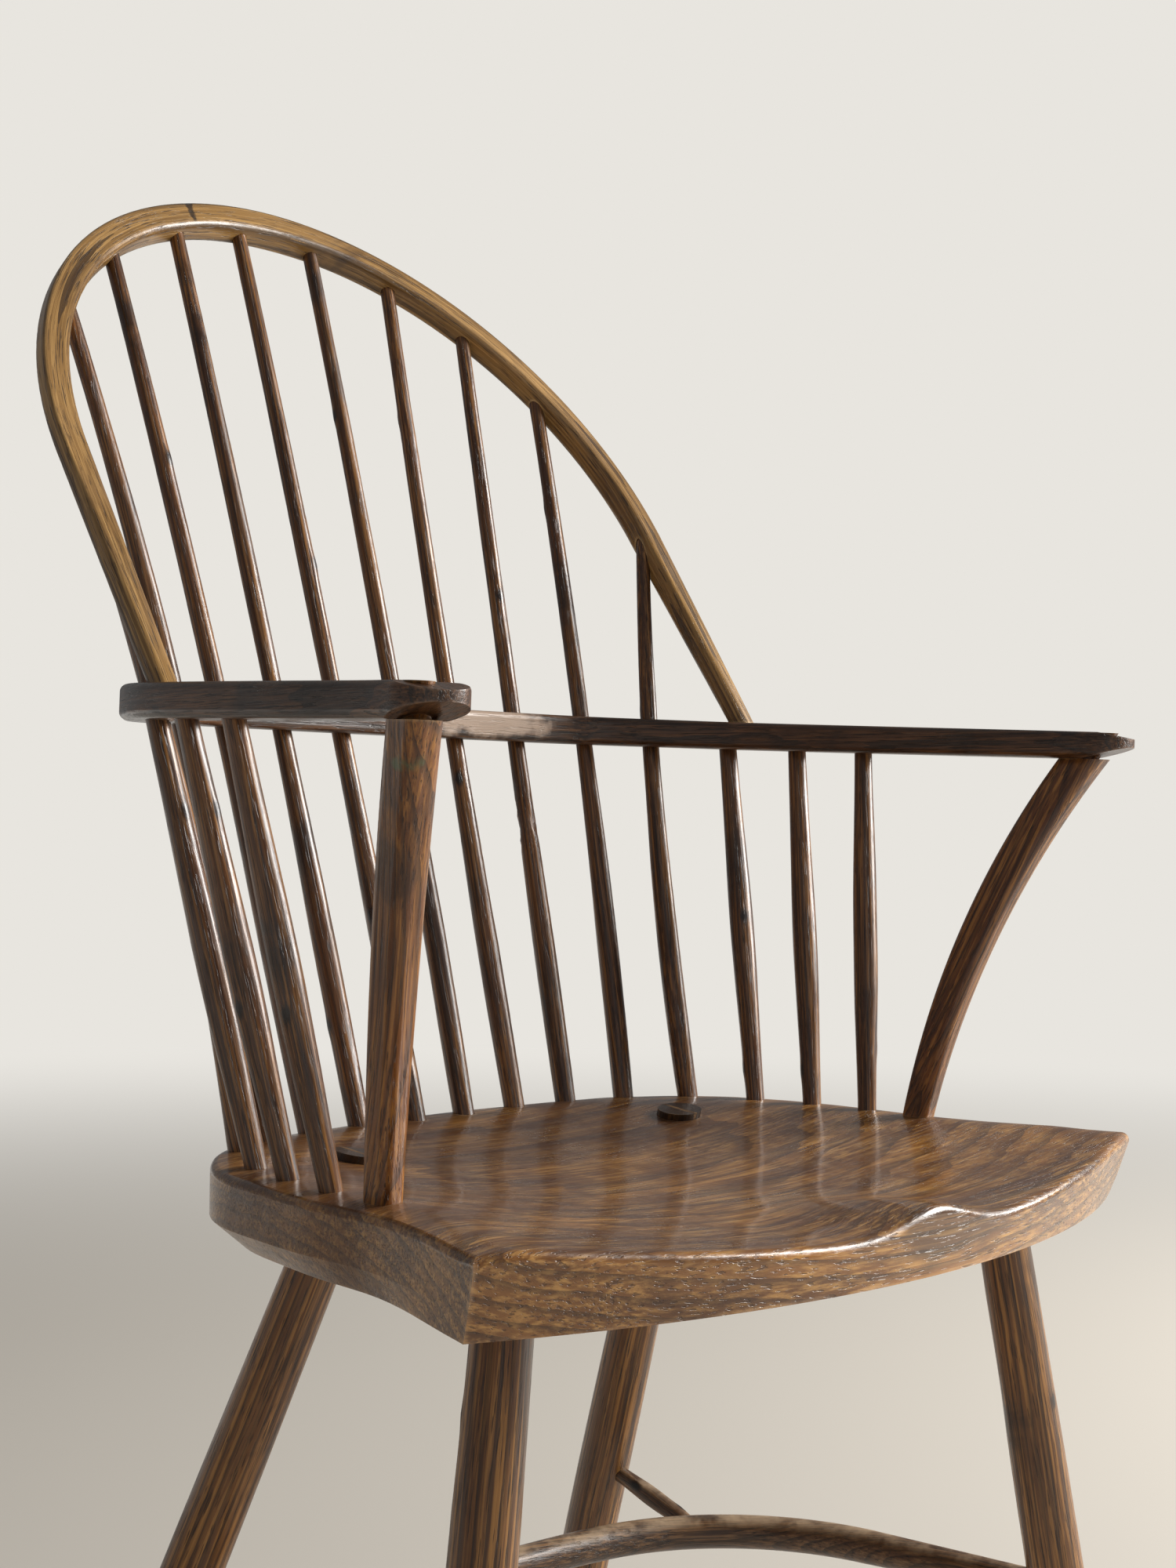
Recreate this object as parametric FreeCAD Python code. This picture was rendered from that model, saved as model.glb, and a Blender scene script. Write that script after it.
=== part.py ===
import FreeCAD, Part
import math
import os

# Hoop-back stick armchair, all wood, in millimetres.
# The origin is on the floor, under the middle of the chair's width and depth.
# The chair faces -Y and the sitter's left is +X.

# The whole chair is moved this far back at the end, to put the origin under its middle
moveBack = 1.68

# Seat plank
seatHeight = 430.0
seatThickness = 42.0
seatOutline = [(0.0, 111.0), (80.0, 107.0), (130.0, 98.0), (174.0, 79.0), (209.0, 46.5), (231.0, 8.0),
               (240.5, -37.0), (246.5, -87.0), (247.0, -122.0), (256.0, -167.0), (270.0, -207.0), (282.0, -243.0)]
seatFrontY = -290.0
underChamferHeight = 13.0
underChamferRun = 18.0
underCornerRun = 7.0
rimWidths = [21.5, 17.5, 14.3, 13.2, 14.2, 21.0, 19.2, 19.6, 20.5]
rimRound = 4.5
rimFall = 34.0
rimHalfWidth = 227.0
rimFlare = 45.0
rimRear = 89.0
saddleDepth = 18.5
saddleHalfWidth = 218.0
saddleFlare = 62.0
saddleRear = 92.0
saddleMiddleY = -100.0
saddleFlareStart = -120.0
saddleEase = 1.15
pommelShare = 0.65
pommelHalfWidth = 38.0
pommelStart = -165.0

# Sticks: distances along the seat's edge, the arm bow and the hoop, from the middle of the back
# The long ones were set by eye, so the two sides differ
longPerSide = 5
shortPerSide = 3
longOnSeat = {"left": [20.8, 66.3, 111.8, 157.3, 202.5], "right": [20.8, 66.3, 107.0, 147.0, 186.0]}
shortFirstOnSeat = 251.0
shortPitchOnSeat = 41.5
postOnSeat = 374.0
longOnArm = {"left": [26.6, 73.6, 126.6, 182.0, 230.4], "right": [25.0, 76.3, 126.3, 165.5, 238.0]}
longOnHoop = {"left": [32.0, 99.6, 166.5, 238.1, 386.0], "right": [30.4, 89.8, 163.8, 241.9, 392.0]}
outerStickInset = 4.5
outerStickTenon = 5.0
shortFirstOnArm = 286.2
shortPitchOnArm = 51.8
stickSocketDepth = 27.0
longSeatRadius = 7.0
longSwellRadius = 7.4
longArmRadius = 6.0
longTopRadius = 5.1
longTopTenon = 9.0
shortEndRadius = 6.2
shortSwellRadius = 8.3
shortTopTenon = 9.0

# Back hoop
hoopLean = 33.8
hoopHalfWidth = 244.5
hoopStraight = 165.0
hoopWidth = 20.0
hoopDepth = 18.0
hoopSpringWidth = 17.5
hoopSpringDepth = {"left": 16.5, "right": 14.0}
hoopFootWidth = 14.0
hoopFootDepth = 13.5
hoopFrontOuterRound = 2.0
hoopFrontInnerRound = 4.0
hoopRearOuterRound = 7.0
hoopRearInnerRound = 3.0
hoopFootRound = 5.0
hoopFootY = 43.5
hoopTenonRadius = 6.0

# Arm bow
armHandBottom = 660.0
armHandThickness = 17.0
armUnderTilt = 1.85
armTopTilt = 2.3
armWidth = 38.0
armLine = [(0.0, 165.5), (76.7, 161.8), (128.9, 154.8), (176.7, 140.4), (213.5, 98.7), (243.0, 53.0),
           (257.0, 8.3), (265.2, -44.8), (275.0, -122.0), (284.7, -199.0), (288.5, -214.0)]
armRound = 4.0
handBevelLength = 30.0
handBevelRise = 7.0
handTopLength = 20.0
handTopDrop = 4.5
postOnArm = 549.5

# Arm posts
postBaseFront = 18.0
postBaseSide = 15.0
postTopFront = 25.0
postTopSide = 19.5
postBaseRound = 5.0
postTopRound = 7.0
postBow = 13.5
postTenonRadius = 7.5

# Legs: places are where the axes cross the underside of the seat
frontLegX = 211.3
frontLegY = -187.5
frontLegSplayX = 0.178
frontLegSplayY = -0.076
rearLegX = 143.0
rearLegY = 23.1
rearLegSplayX = 0.158
rearLegSplayY = 0.391
legTopRadius = 15.3
legSwellRadius = 17.8
legFootRadius = 16.6
legSwellHeight = 135.0
frontTenonLength = 26.0
frontTenonRadius = 13.0
rearTenonRadius = 14.0
rearTenonProud = 4.5

# Crinoline stretcher and its spurs
stretcherHeight = 143.0
stretcherMiddleY = 62.0
stretcherMiddleBend = 520.0
stretcherMiddleTurn = 12.5
stretcherToe = 9.6
stretcherRadius = 10.8
stretcherEndRadius = 8.6
stretcherTenonRadius = 7.0
stretcherTenonPast = 6.0
spurHeight = 170.0
spurReach = 176.0
spurRadius = 6.6
spurEndRadius = 5.4
spurTenon = 9.0

# Wedges and fits
wedgeThick = 3.2
wedgeTip = 0.8
wedgeLength = 20.0
hoopWedgeLength = 14.0
glueGap = 0.1

seatUnder = seatHeight - seatThickness
up = FreeCAD.Vector(0, 0, 1)
sides = ["left", "right"]


def vec(x, y, z=0.0):
    return FreeCAD.Vector(x, y, z)


def unit(v):
    return FreeCAD.Vector(v).normalize()


def onAxis(shape, base, direction):
    # stand a shape made along +Z on a base point, along a direction
    turn = FreeCAD.Rotation(up, direction)
    moved = shape.copy()
    moved.Placement = FreeCAD.Placement(base, turn)
    return moved


def turned(profile, base, direction, grow=0.0):
    # a round piece: profile holds (distance along the axis, radius), and the curve runs through its points
    points = [vec(radius + grow, 0, along) for along, radius in profile]
    curve = Part.BSplineCurve()
    curve.interpolate(points)
    start = vec(0, 0, points[0].z)
    end = vec(0, 0, points[-1].z)
    edges = [Part.makeLine(start, points[0]), curve.toShape()]
    edges += [Part.makeLine(points[-1], end), Part.makeLine(end, start)]
    solid = Part.Face(Part.Wire(edges)).revolve(vec(0, 0, 0), up, 360)
    return onAxis(solid, base, direction)


def rod(start, end, radius):
    line = end - start
    return Part.makeCylinder(radius, line.Length, start, line)


def roundedSection(centre, across, along, width, depth, radii):
    # a closed rounded rectangle: its four radii start at the corner at -across, -along
    corners = [(-1, -1), (1, -1), (1, 1), (-1, 1)]
    rounds = []
    for (sx, sy), radius in zip(corners, radii):
        tip = centre + across * (sx * width / 2) + along * (sy * depth / 2)
        inner = tip - across * (sx * radius) - along * (sy * radius)
        sidePoint = inner + across * (sx * radius)
        facePoint = inner + along * (sy * radius)
        middle = inner + unit(across * sx + along * sy) * radius
        rounds.append([facePoint, middle, sidePoint] if sx * sy < 0 else [sidePoint, middle, facePoint])
    edges = []
    for i in range(4):
        here = rounds[i]
        after = rounds[(i + 1) % 4]
        edges.append(Part.Arc(*here).toShape())
        edges.append(Part.makeLine(here[2], after[0]))
    return Part.Wire(edges)


def mirrored(shape):
    return shape.mirror(vec(0, 0, 0), vec(1, 0, 0))


def fused(shapes):
    return shapes[0].fuse(shapes[1:]).removeSplitter()


# Seat outline and the line of the sticks on it
def insetPoints(insets):
    # the outline's points, each moved inward by its own amount
    points = []
    last = len(seatOutline) - 1
    for i, inset in enumerate(insets):
        x, y = seatOutline[i]
        before = seatOutline[max(i - 1, 0)]
        after = seatOutline[min(i + 1, last)]
        tangent = unit(vec(after[0] - before[0], after[1] - before[1]))
        inward = vec(tangent.y, -tangent.x) if i else vec(0, -1)
        points.append(vec(x, y) + inward * inset)
    return points


def halfCurve(points):
    curve = Part.BSplineCurve()
    curve.interpolate(Points=points, InitialTangent=vec(100, 0), FinalTangent=points[-1] - points[-2])
    return curve.toShape()


def seatWire(z, inset, cornerRun, frontSet):
    # the inset fades out from the fourth point to the one before the front corner
    last = len(seatOutline) - 1
    points = insetPoints([inset * min(1.0, max(0.0, (last - 1 - i) / (last - 5))) for i in range(last + 1)])
    points[-1] = points[-1] + vec(-cornerRun, 2.2 * cornerRun)
    points[-2] = points[-2] + vec(-0.5 * cornerRun, 0.5 * cornerRun)
    right = halfCurve(points)
    corner = points[-1]
    front = Part.Arc(corner, vec(0, seatFrontY + frontSet), vec(-corner.x, corner.y)).toShape()
    wire = Part.Wire(Part.__sortEdges__([right, front, mirrored(right)]))
    wire.translate(vec(0, 0, z))
    return wire


def saddleDrop(x, y):
    # how far the sitting surface lies under the rim
    flare = min(1.0, max(0.0, (saddleFlareStart - y) / (saddleFlareStart - seatFrontY)))
    halfWidth = saddleHalfWidth + saddleFlare * flare
    back = max(0.0, (y - saddleMiddleY) / (saddleRear - saddleMiddleY))
    rimBack = max(0.0, (y - saddleMiddleY) / (rimRear - saddleMiddleY))
    rimOut = ((abs(x) / (rimHalfWidth + rimFlare * flare)) ** 3.2 + rimBack ** 3.2) ** (1 / 3.2)
    fall = rimFall * max(0.0, rimOut - 1.0)
    bowl = max(0.0, 1.0 - (x / halfWidth) ** 2 - back ** 2) ** saddleEase
    rise = min(1.0, max(0.0, (pommelStart - y) / (pommelStart - seatFrontY)))
    pommel = pommelShare * math.exp(-(x / pommelHalfWidth) ** 2) * rise * rise * (3 - 2 * rise)
    return saddleDepth * bowl * (1 - pommel) + fall


def saddleCutter():
    # everything over the sitting surface
    columns = 31
    rows = 25
    reach = 310.0
    yStart = seatFrontY - 20.0
    yEnd = seatOutline[0][1] + 20.0
    grid = []
    for i in range(columns):
        x = -reach + 2 * reach * i / (columns - 1)
        line = []
        for j in range(rows):
            y = yStart + (yEnd - yStart) * j / (rows - 1)
            line.append(vec(x, y, seatHeight - saddleDrop(x, y)))
        grid.append(line)
    surface = Part.BSplineSurface()
    surface.interpolate(grid)
    return surface.toShape().extrude(vec(0, 0, 60))


def seatPlank(cutter):
    share = underChamferHeight / seatThickness
    top = seatWire(seatHeight + 6, 0.0, 0.0, 0.0)
    waist = seatWire(seatUnder + underChamferHeight, 0.0, underCornerRun * (1 - share), 0.0)
    bottom = seatWire(seatUnder, underChamferRun, underCornerRun, 1.0)
    plank = Part.makeLoft([bottom, waist, top], True, True).cut(cutter)
    rim = [e for e in plank.Edges if e.BoundBox.ZMax > seatHeight - saddleDepth and e.BoundBox.ZMin > seatHeight - 20]
    return plank.makeFillet(rimRound, rim)


stickLine = halfCurve(insetPoints(rimWidths))


def seatPoint(distance):
    # a point on the stick line, at the rim's height
    return stickLine.valueAt(stickLine.getParameterByLength(distance)) + vec(0, 0, seatHeight)


# Arm bow faces: both fall evenly from the back to the hands
armHandY = armLine[-1][1]


def armUnder(y):
    return armHandBottom + (y - armHandY) * math.tan(math.radians(armUnderTilt))


def armTop(y):
    return armHandBottom + armHandThickness + (y - armHandY) * math.tan(math.radians(armTopTilt))


def armMiddle(y):
    return (armUnder(y) + armTop(y)) / 2


# Hoop frame: up its own plane, and back out of it
lean = math.radians(hoopLean)
hoopUp = vec(0, math.sin(lean), math.cos(lean))
hoopBack = vec(0, math.cos(lean), -math.sin(lean))
hoopFoot = vec(hoopHalfWidth, hoopFootY, armMiddle(hoopFootY))
hoopSpring = vec(0, hoopFoot.y, hoopFoot.z) + hoopUp * (hoopStraight + armHandThickness / 2)


def hoopPoint(distance):
    # a point on the hoop's middle line, at a distance from its top
    quarter = hoopHalfWidth * math.pi / 2
    if distance > quarter:
        return hoopSpring + vec(hoopHalfWidth, 0, 0) - hoopUp * (distance - quarter)
    angle = distance / hoopHalfWidth
    return hoopSpring + vec(hoopHalfWidth * math.sin(angle), 0, 0) + hoopUp * (hoopHalfWidth * math.cos(angle))


def armCurve():
    right = [vec(x, y) for x, y in armLine]
    left = [vec(-p.x, p.y) for p in reversed(right[1:])]
    curve = Part.BSplineCurve()
    curve.interpolate(left + right)
    return curve.toShape()


armEdge = armCurve()
armHalfLength = armEdge.Length / 2


def armPoint(distance):
    # a point on the arm bow's middle line on the +X side, and the direction of the bow there
    at = armEdge.getParameterByLength(armHalfLength + distance)
    flat = armEdge.valueAt(at)
    tangent = armEdge.tangentAt(at)
    return vec(flat.x, flat.y, armMiddle(flat.y)), tangent


def armSlab(bottomGap, topGap):
    # the wedge of space between the bow's lower and upper faces
    rear = 400.0
    front = -400.0
    reach = 400.0
    low = [armUnder(y) + bottomGap for y in (front, rear)]
    high = [armTop(y) + topGap for y in (front, rear)]
    points = [vec(-reach, front, low[0]), vec(-reach, rear, low[1])]
    points += [vec(-reach, rear, high[1]), vec(-reach, front, high[0])]
    return Part.Face(Part.makePolygon(points + points[:1])).extrude(vec(2 * reach, 0, 0))


armTilt = math.radians((armUnderTilt + armTopTilt) / 2)
armUp = vec(0, -math.sin(armTilt), math.cos(armTilt))


def armSection(distance):
    # the bow's rounded section and the direction across it
    point, tangent = armPoint(distance)
    line = unit(vec(tangent.x, tangent.y, tangent.y * math.tan(armTilt)))
    across = unit(line.cross(armUp))
    depth = (armTop(point.y) - armUnder(point.y)) * math.cos(armTilt)
    return roundedSection(point, across, armUp, armWidth, depth, [armRound] * 4), across


def armBowBody():
    steps = 40
    sections = [armSection(armHalfLength * (2 * i / steps - 1))[0] for i in range(steps + 1)]
    bow = Part.makeLoft(sections, True, False)
    # each hand ends in a half turn of the outer half of the last section
    middle = armPoint(armHalfLength)[0]
    section, across = armSection(armHalfLength)
    high = middle + armUp * armWidth
    low = middle - armUp * armWidth
    innerHalf = Part.Face(Part.makePolygon([low, high, high - across * armWidth, low - across * armWidth, low]))
    hand = Part.Face(section).cut(innerHalf).revolve(middle, armUp, 180)
    bow = fused([bow, hand, mirrored(hand)])
    cuts = [handBevel(side, handBevelLength, handBevelRise) for side in sides]
    cuts += [handBevel(side, handTopLength, -handTopDrop) for side in sides]
    return bow.cut(cuts)


def handBevel(side, length, rise):
    # a sloped cut at the end of one hand: under it where the rise is over zero, on top where it's below
    tip, tangent = armPoint(armHalfLength)
    start = tip + tangent * (armWidth / 2 - length)
    start.z = armUnder(start.y) if rise > 0 else armTop(start.y)
    reach = 60.0
    clear = up * (-reach if rise > 0 else reach)
    far = start + tangent * reach
    acrossBow = vec(tangent.y, -tangent.x)
    points = [start, far + up * (reach * rise / length), far + clear, start + clear]
    points = [p - acrossBow * reach for p in points]
    block = Part.Face(Part.makePolygon(points + points[:1])).extrude(acrossBow * (2 * reach))
    return block if side == "left" else mirrored(block)


# Sticks; grow widens them into their sockets' shape
def longPoints(side, index):
    # where a long stick leaves the seat, passes the arm bow and meets the hoop, and how far it runs on
    base = seatPoint(longOnSeat[side][index])
    waist = armPoint(longOnArm[side][index])[0]
    top = hoopPoint(longOnHoop[side][index])
    if index == longPerSide - 1:
        return base, waist, top - vec(outerStickInset, 0), outerStickTenon
    return base, waist, top, longTopTenon - hoopWidth / 2


def longStick(side, index, grow=0.0):
    # a slightly sprung round stick: circles along a parabola through its three places
    base, waist, top, runOn = longPoints(side, index)
    length = (top - base).Length
    cross = (waist - base).Length
    share = cross / length
    end = length + runOn
    bore = armHandThickness / 2 + 8.0
    profile = [(-stickSocketDepth, longSeatRadius), (0.0, longSeatRadius), (cross * 0.45, longSwellRadius)]
    profile += [(cross - bore, longArmRadius), (cross + bore, longArmRadius)]
    profile += [((cross + bore + end) / 2, (longArmRadius + longTopRadius) / 2)]
    profile += [(end - longTopTenon, longTopRadius), (end, longTopRadius)]
    rings = []
    for along, radius in profile:
        t = along / length
        place = base * ((t - share) * (t - 1) / share) + waist * (t * (t - 1) / (share * (share - 1)))
        place = place + top * (t * (t - share) / (1 - share))
        line = base * ((2 * t - share - 1) / share) + waist * ((2 * t - 1) / (share * (share - 1)))
        line = line + top * ((2 * t - share) / (1 - share))
        rings.append(Part.Wire(Part.makeCircle(radius + grow, place, line)))
    stick = Part.makeLoft(rings, True, False)
    return stick if side == "left" else mirrored(stick)


# The pieces from here on are made on the +X side, and then mirrored
def shortStick(index, grow=0.0):
    base = seatPoint(shortFirstOnSeat + shortPitchOnSeat * index)
    middle = armPoint(shortFirstOnArm + shortPitchOnArm * index)[0]
    underside = vec(middle.x, middle.y, armUnder(middle.y))
    axis = unit(underside - base)
    length = (underside - base).Length
    profile = [(-stickSocketDepth, shortEndRadius), (0.0, shortEndRadius), (length * 0.42, shortSwellRadius)]
    profile += [(length, shortEndRadius), (length + shortTopTenon, shortEndRadius)]
    return turned(profile, base, axis, grow)


# Back hoop
def hoopTenon(grow=0.0):
    low = hoopFoot - hoopUp * (armHandThickness * 1.5)
    high = hoopFoot + hoopUp * armHandThickness
    return rod(low, high, hoopTenonRadius + grow).cut(underArm())


def underArm():
    # the space under the arm bow
    return armSlab(-80, 0).cut(armSlab(0, 30))


def overArm():
    # the space over the arm bow
    return armSlab(0, 80).cut(armSlab(-30, 0))


def hoopSection(side, distance):
    # the bow's section at a distance from its top: all front faces lie in one plane
    quarter = hoopHalfWidth * math.pi / 2
    archShare = min(1.0, distance / quarter)
    legShare = max(0.0, (distance - quarter) / hoopStraight)
    width = hoopWidth + (hoopSpringWidth - hoopWidth) * archShare + (hoopFootWidth - hoopSpringWidth) * legShare
    springDepth = hoopSpringDepth[side]
    depth = hoopDepth + (springDepth - hoopDepth) * archShare + (hoopFootDepth - springDepth) * legShare
    radii = [hoopFrontInnerRound, hoopFrontOuterRound, hoopRearOuterRound, hoopRearInnerRound]
    radii = [radius + (hoopFootRound - radius) * min(1.0, legShare) for radius in radii]
    angle = min(distance, quarter) / hoopHalfWidth
    across = vec(math.sin(angle), 0, 0) + hoopUp * math.cos(angle)
    centre = hoopPoint(distance) + hoopBack * ((depth - hoopDepth) / 2)
    if side == "right":
        centre = vec(-centre.x, centre.y, centre.z)
        across = vec(-across.x, across.y, across.z)
    return roundedSection(centre, across, hoopBack, width, depth, radii)


def backBow():
    # a smooth arch from spring to spring, and two straight legs that thin toward their feet
    quarter = hoopHalfWidth * math.pi / 2
    steps = 8
    sections = [hoopSection("right", quarter * i / steps) for i in range(steps, 0, -1)]
    sections += [hoopSection("left", quarter * i / steps) for i in range(steps + 1)]
    arch = Part.makeLoft(sections, True, False)
    pieces = [arch, hoopTenon(), mirrored(hoopTenon())]
    for side in sides:
        ends = [hoopSection(side, quarter), hoopSection(side, quarter + hoopStraight + 20)]
        pieces.append(Part.makeLoft(ends, True, True).cut(armSlab(-100, 0)))
    return fused(pieces)


# Arm posts
postBase = seatPoint(postOnSeat)
postMiddle, postBowDirection = armPoint(postOnArm)
postTop = vec(postMiddle.x, postMiddle.y, armUnder(postMiddle.y))


def postArc():
    chord = postTop - postBase
    outward = unit(vec(chord.x, chord.y))
    line = unit(chord)
    bowDirection = unit(line * outward.dot(line) - outward)
    edge = Part.Arc(postBase, (postBase + postTop) * 0.5 + bowDirection * postBow, postTop).toShape()
    return edge.Curve, edge.FirstParameter, edge.LastParameter


def postBody():
    circle, baseAngle, topAngle = postArc()
    extra = 20.0 / circle.Radius
    first = baseAngle - extra
    last = topAngle + extra
    sections = []
    steps = 6
    for i in range(steps + 1):
        at = first + (last - first) * i / steps
        centre = circle.value(at)
        share = min(1.0, max(0.0, (at - baseAngle) / (topAngle - baseAngle)))
        ease = math.sin(share * math.pi / 2)
        line = unit(circle.tangent(at)[0])
        fore = unit(line.cross(vec(1, 0, 0)))
        across = unit(fore.cross(line))
        front = postBaseFront + (postTopFront - postBaseFront) * ease
        side = postBaseSide + (postTopSide - postBaseSide) * ease
        roundness = postBaseRound + (postTopRound - postBaseRound) * ease
        sections.append(roundedSection(centre, across, fore, side, front, [roundness] * 4))
    return Part.makeLoft(sections, True, False)


def postEndTangents():
    circle, baseAngle, topAngle = postArc()
    return unit(circle.tangent(baseAngle)[0]), unit(circle.tangent(topAngle)[0])


def postTenons(grow=0.0):
    start, end = postEndTangents()
    foot = rod(postBase - start * stickSocketDepth, postBase + start * 8, postTenonRadius + grow)
    head = rod(postTop - end * 8, postTop + end * 60, postTenonRadius + grow)
    return foot, head.cut(overArm())


def wedge(centre, axis, across, width, length, grow=0.0):
    # a thin wedge with its thick end at the centre point, driven against the axis
    # the grown copy, which cuts its slot, runs out past both sides of the tenon
    span = width + 4.0 if grow else width - 4 * glueGap
    thin = unit(axis.cross(across))
    half = wedgeThick / 2 + grow
    tip = wedgeTip / 2 + grow
    far = centre - axis * (length + grow)
    points = [centre + thin * half, centre - thin * half, far - thin * tip, far + thin * tip]
    points = [p - across * (span / 2) for p in points]
    return Part.Face(Part.makePolygon(points + points[:1])).extrude(across * span)


def postWedge(grow=0.0):
    # it lies across the bow, so that it doesn't split it
    start, end = postEndTangents()
    rise = (armTop(postTop.y) - postTop.z) / end.z
    top = postTop + end * (rise * 1.2)
    across = unit(end.cross(postBowDirection))
    block = wedge(top, end, across, postTenonRadius * 2, wedgeLength, grow)
    return block.cut(overArm())


def hoopWedge(grow=0.0):
    # driven up from below the bow
    low = hoopFoot - hoopUp * (armHandThickness * 0.75)
    return wedge(low, hoopUp * -1.0, vec(1, 0, 0), hoopTenonRadius * 2, hoopWedgeLength, grow).cut(underArm())


# Legs on the +X side
def legAxis(x, y, splayX, splayY):
    top = vec(x, y, seatUnder)
    return top, unit(vec(splayX, splayY, -1.0))


def legBody(top, axis):
    length = seatUnder / -axis.z
    swell = (seatUnder - legSwellHeight) / -axis.z
    profile = [(-20.0, legTopRadius), (swell * 0.5, (legTopRadius + legSwellRadius) / 2 + 0.3)]
    profile += [(swell, legSwellRadius), (length, legFootRadius), (length + 30.0, legFootRadius - 0.4)]
    leg = turned(profile, top, axis)
    floor = Part.makeBox(2000, 2000, 200, vec(-1000, -1000, -200))
    return leg.cut(floor)


# Crinoline stretcher
frontTop, frontAxis = legAxis(frontLegX, frontLegY, frontLegSplayX, frontLegSplayY)
rearTop, rearAxis = legAxis(rearLegX, rearLegY, rearLegSplayX, rearLegSplayY)


def onLeg(top, axis, height):
    return top + axis * ((top.z - height) / -axis.z)


stretcherEnd = onLeg(frontTop, frontAxis, stretcherHeight)


def stretcherArcs():
    # the bow is a gentle middle arc, two tighter side arcs and two straight ends, all tangent
    turn = math.radians(stretcherMiddleTurn)
    whole = math.radians(90.0 - stretcherToe)
    halfWidth = stretcherEnd.x - stretcherMiddleBend * math.sin(turn)
    depth = stretcherMiddleY - stretcherEnd.y - stretcherMiddleBend * (1 - math.cos(turn))
    a = math.sin(whole) - math.sin(turn)
    b = math.cos(whole)
    c = math.cos(turn) - math.cos(whole)
    d = math.sin(whole)
    sideBend = (halfWidth * d - depth * b) / (a * d - b * c)
    return turn, whole, sideBend


def disc(centre, direction, radius):
    return Part.Face(Part.Wire(Part.makeCircle(radius, centre, direction)))


def stretcherBody():
    turn, whole, sideBend = stretcherArcs()
    middle = vec(0, stretcherMiddleY, stretcherHeight)
    centre = middle - vec(0, stretcherMiddleBend, 0)
    arch = disc(middle, vec(1, 0, 0), stretcherRadius).revolve(centre, up, -math.degrees(turn))
    radial = vec(math.sin(turn), math.cos(turn))
    join = centre + radial * stretcherMiddleBend
    sideCentre = join - radial * sideBend
    heading = vec(math.cos(turn), -math.sin(turn))
    bend = disc(join, heading, stretcherRadius).revolve(sideCentre, up, -math.degrees(whole - turn))
    bendEnd = sideCentre + vec(math.sin(whole), math.cos(whole)) * sideBend
    run = stretcherEnd - bendEnd
    straight = Part.makeCone(stretcherRadius, stretcherEndRadius, run.Length, bendEnd, run)
    half = [arch, bend, straight]
    return fused(half + [mirrored(piece) for piece in half])


def stretcherTenon(grow=0.0):
    turn, whole, sideBend = stretcherArcs()
    heading = vec(math.cos(whole), -math.sin(whole))
    start = stretcherEnd - heading * (legSwellRadius + 4)
    return rod(start, stretcherEnd + heading * stretcherTenonPast, stretcherTenonRadius + grow)


def spur(grow=0.0):
    start = onLeg(rearTop, rearAxis, spurHeight)
    turn, whole, sideBend = stretcherArcs()
    centreY = stretcherMiddleY - stretcherMiddleBend
    radial = vec(math.sin(turn), math.cos(turn))
    sideCentre = vec(0, centreY, stretcherHeight) + radial * (stretcherMiddleBend - sideBend)
    end = vec(spurReach, sideCentre.y + math.sqrt(sideBend ** 2 - (spurReach - sideCentre.x) ** 2), stretcherHeight)
    axis = unit(end - start)
    length = (end - start).Length
    first = legSwellRadius - spurTenon
    last = length - stretcherRadius + spurTenon
    profile = [(first, spurEndRadius), (first + spurTenon + 2, spurEndRadius), (length * 0.5, spurRadius)]
    profile += [(last - spurTenon - 2, spurEndRadius), (last, spurEndRadius)]
    return turned(profile, start, axis, grow)


# Build
parts = {}


def addPair(name, piece):
    parts[name + "_left"] = piece
    parts[name + "_right"] = mirrored(piece)


saddle = saddleCutter()
plank = seatPlank(saddle)

# Legs: the bodies stop at the underside of the seat, and their tenons go on into it
proudSaddle = saddle.translated(vec(0, 0, rearTenonProud))
rearTenonLength = seatThickness * 1.4


def rearTenon(grow=0.0):
    return rod(rearTop + rearAxis * 20, rearTop - rearAxis * rearTenonLength, rearTenonRadius + grow).cut(proudSaddle)


def frontTenon(grow=0.0):
    end = frontTop - frontAxis * (frontTenonLength + grow)
    return rod(frontTop + frontAxis * 20, end, frontTenonRadius + grow)


def legWedge(grow=0.0):
    # its thick end is cut flush with the proud end of the tenon
    top = onLeg(rearTop, rearAxis, seatHeight + rearTenonProud)
    across = unit(rearAxis.cross(vec(1, 0, 0)))
    return wedge(top, rearAxis * -1.0, across, rearTenonRadius * 2, wedgeLength, grow).cut(proudSaddle)


rearLeg = fused([legBody(rearTop, rearAxis).cut(plank), rearTenon()])
rearLeg = rearLeg.cut(legWedge(glueGap)).cut(spur(glueGap))
frontLeg = fused([legBody(frontTop, frontAxis).cut(plank), frontTenon()]).cut(stretcherTenon(glueGap))
addPair("rear_leg", rearLeg)
addPair("front_leg", frontLeg)
addPair("leg_wedge", legWedge())

# Crinoline stretcher and spurs
frontBlock = legBody(frontTop, frontAxis)
stretcher = stretcherBody().cut(frontBlock).cut(mirrored(frontBlock))
stretcher = fused([stretcher, stretcherTenon(), mirrored(stretcherTenon())])
parts["crinoline_stretcher"] = stretcher.cut([spur(glueGap), mirrored(spur(glueGap))])
addPair("spur", spur())

# Arm bow before its holes, and the posts between it and the seat
bow = armBowBody()
postFoot, postHead = postTenons()
post = postBody().cut(plank).cut(armSlab(0, 80))
post = fused([post, postFoot, postHead]).cut(postWedge(glueGap))
addPair("arm_post", post)
addPair("post_wedge", postWedge())

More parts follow.
